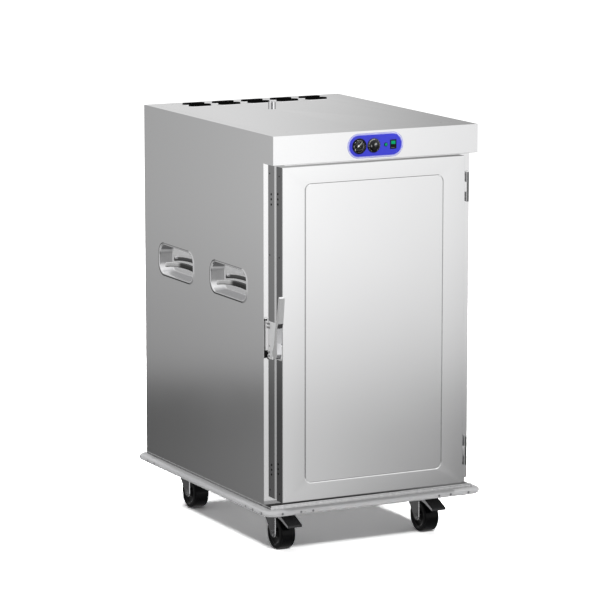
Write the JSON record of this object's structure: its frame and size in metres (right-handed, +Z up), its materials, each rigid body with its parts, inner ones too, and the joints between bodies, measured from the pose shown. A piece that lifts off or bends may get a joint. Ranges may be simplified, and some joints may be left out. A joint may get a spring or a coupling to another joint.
{
  "type": "food warmer cabinet trolley",
  "caption": "Insulated food warmer cabinet on swivel castors: a hinged door with a lever latch, a control box above it, tray runners inside and a rubbing strip round the base.",
  "frame": {"origin": "on the floor, under the middle of the whole trolley", "axes": "+Z up, -Y to the front where the door is, +X to the right of someone facing the door"},
  "size_m": [0.756, 0.987, 1.319],
  "materials": {
    "body_steel": "fine brushed stainless steel",
    "frame_steel": "brushed stainless steel",
    "door_steel": "brushed stainless steel",
    "liner_steel": "satin stainless steel",
    "insulation": "pressed mineral wool",
    "gasket_rubber": "moulded seal",
    "bright_chrome": "polished bright",
    "latch_metal": "cast, satin plated",
    "screw_metal": "plated screw heads",
    "base_steel": "brushed stainless steel",
    "bumper_grey": "smooth grey moulding",
    "zinc_steel": "bright zinc plate",
    "pedal_steel": "black on plated steel",
    "tyre_black": "smooth black tread",
    "wheel_black": "black moulding",
    "label_blue": "smooth blue plate",
    "black_plastic": "moulded black",
    "needle_white": "white paint",
    "clear_glass": "clear",
    "green_lens": "green lens",
    "motor_metal": "cast and pressed",
    "heater_metal": "dark heat-stained tube"
  },
  "bodies": {
    "root": {"base_plate": "base_steel", "body_screws": "screw_metal", "bumper_corners": "bumper_grey", "bumper_rails": "bumper_grey", "cable_gland": "black_plastic", "caster_plates": "zinc_steel", "chassis_rails": "base_steel", "control_fascia": "body_steel", "control_label": "label_blue", "door_frame": "frame_steel", "fan_guard": "liner_steel", "fan_motor": "motor_metal", "front_flange": "body_steel", "gauge_body": "black_plastic", "gauge_glass": "clear_glass", "handle_cups": "bright_chrome", "handle_grips": "bright_chrome", "heater_element": "heater_metal", "hinge_frame_leaves": "frame_steel", "indicator_lamp": "green_lens", "inner_liner": "liner_steel", "insulation_panels": "insulation", "insulation_sides": "insulation", "left_side_panel": "body_steel", "rack_posts": "liner_steel", "rear_panel": "body_steel", "right_side_panel": "body_steel", "rocker_bezel": "black_plastic", "steam_vent_pipe": "bright_chrome", "strike_plate": "frame_steel", "thermostat_body": "black_plastic", "top_cover": "body_steel", "tray_runners": "liner_steel", "water_tray": "liner_steel", "wire_shelves": "bright_chrome"},
    "door": {"door_skin": "door_steel", "door_inner_panel": "liner_steel", "door_insulation": "insulation", "door_gasket": "gasket_rubber", "hinge_door_leaves": "frame_steel", "latch_housing": "latch_metal"},
    "latch": {"latch_lever": "latch_metal"},
    "knob": {"thermostat_knob": "black_plastic"},
    "rocker": {"rocker_button": "green_lens"},
    "needle": {"gauge_needle": "needle_white"},
    "fan": {"fan_wheel": "motor_metal"},
    "fork_fl": {"fork_fl": "zinc_steel"},
    "wheel_fl": {"wheel_core_fl": "wheel_black", "tyre_fl": "tyre_black"},
    "fork_fr": {"fork_fr": "zinc_steel"},
    "wheel_fr": {"wheel_core_fr": "wheel_black", "tyre_fr": "tyre_black"},
    "fork_rl": {"fork_rl": "zinc_steel"},
    "wheel_rl": {"wheel_core_rl": "wheel_black", "tyre_rl": "tyre_black"},
    "fork_rr": {"fork_rr": "zinc_steel"},
    "wheel_rr": {"wheel_core_rr": "wheel_black", "tyre_rr": "tyre_black"},
    "pedal_fl": {"brake_pedal_fl": "pedal_steel"},
    "pedal_fr": {"brake_pedal_fr": "pedal_steel"}
  },
  "joints": [
    {"name": "door_swing", "type": "hinge", "parent": "root", "child": "door", "pos_m": [0.31, -0.4675, 0.2795], "axis": [0, 0, 1], "range_deg": [0, 170]},
    {"name": "latch_turn", "type": "hinge", "parent": "door", "child": "latch", "pos_m": [-0.328, -0.4605, 0.64], "axis": [1, 0, 0], "range_deg": [0, 50]},
    {"name": "thermostat_turn", "type": "hinge", "parent": "root", "child": "knob", "pos_m": [-0.012, -0.4604, 1.251], "axis": [0, 1, 0], "range_deg": [0, 270]},
    {"name": "switch_rock", "type": "hinge", "parent": "root", "child": "rocker", "pos_m": [0.055, -0.4594, 1.251], "axis": [1, 0, 0], "range_deg": [0, 14]},
    {"name": "needle_turn", "type": "hinge", "parent": "root", "child": "needle", "pos_m": [-0.061, -0.4576, 1.251], "axis": [0, 1, 0], "range_deg": [-185, 85], "stiffness_Nm_per_rad": 0.0001},
    {"name": "fan_spin", "type": "hinge", "parent": "root", "child": "fan", "pos_m": [-0.016, 0.3035, 1.208], "axis": [0, 0, 1], "continuous": true},
    {"name": "swivel_fl", "type": "hinge", "parent": "root", "child": "fork_fl", "pos_m": [-0.2515, -0.2865, 0.15], "axis": [0, 0, 1], "continuous": true},
    {"name": "roll_fl", "type": "hinge", "parent": "fork_fl", "child": "wheel_fl", "pos_m": [-0.2515, -0.3155, 0.05], "axis": [1, 0, 0], "continuous": true},
    {"name": "swivel_fr", "type": "hinge", "parent": "root", "child": "fork_fr", "pos_m": [0.2515, -0.2865, 0.15], "axis": [0, 0, 1], "continuous": true},
    {"name": "roll_fr", "type": "hinge", "parent": "fork_fr", "child": "wheel_fr", "pos_m": [0.2515, -0.3155, 0.05], "axis": [1, 0, 0], "continuous": true},
    {"name": "swivel_rl", "type": "hinge", "parent": "root", "child": "fork_rl", "pos_m": [-0.2515, 0.3325, 0.15], "axis": [0, 0, 1], "continuous": true},
    {"name": "roll_rl", "type": "hinge", "parent": "fork_rl", "child": "wheel_rl", "pos_m": [-0.2515, 0.3035, 0.05], "axis": [1, 0, 0], "continuous": true},
    {"name": "swivel_rr", "type": "hinge", "parent": "root", "child": "fork_rr", "pos_m": [0.2515, 0.3325, 0.15], "axis": [0, 0, 1], "continuous": true},
    {"name": "roll_rr", "type": "hinge", "parent": "fork_rr", "child": "wheel_rr", "pos_m": [0.2515, 0.3035, 0.05], "axis": [1, 0, 0], "continuous": true},
    {"name": "brake_fl", "type": "hinge", "parent": "fork_fl", "child": "pedal_fl", "pos_m": [-0.2515, -0.3325, 0.109], "axis": [1, 0, 0], "range_deg": [0, 12]},
    {"name": "brake_fr", "type": "hinge", "parent": "fork_fr", "child": "pedal_fr", "pos_m": [0.2515, -0.3325, 0.109], "axis": [1, 0, 0], "range_deg": [0, 12]}
  ]
}
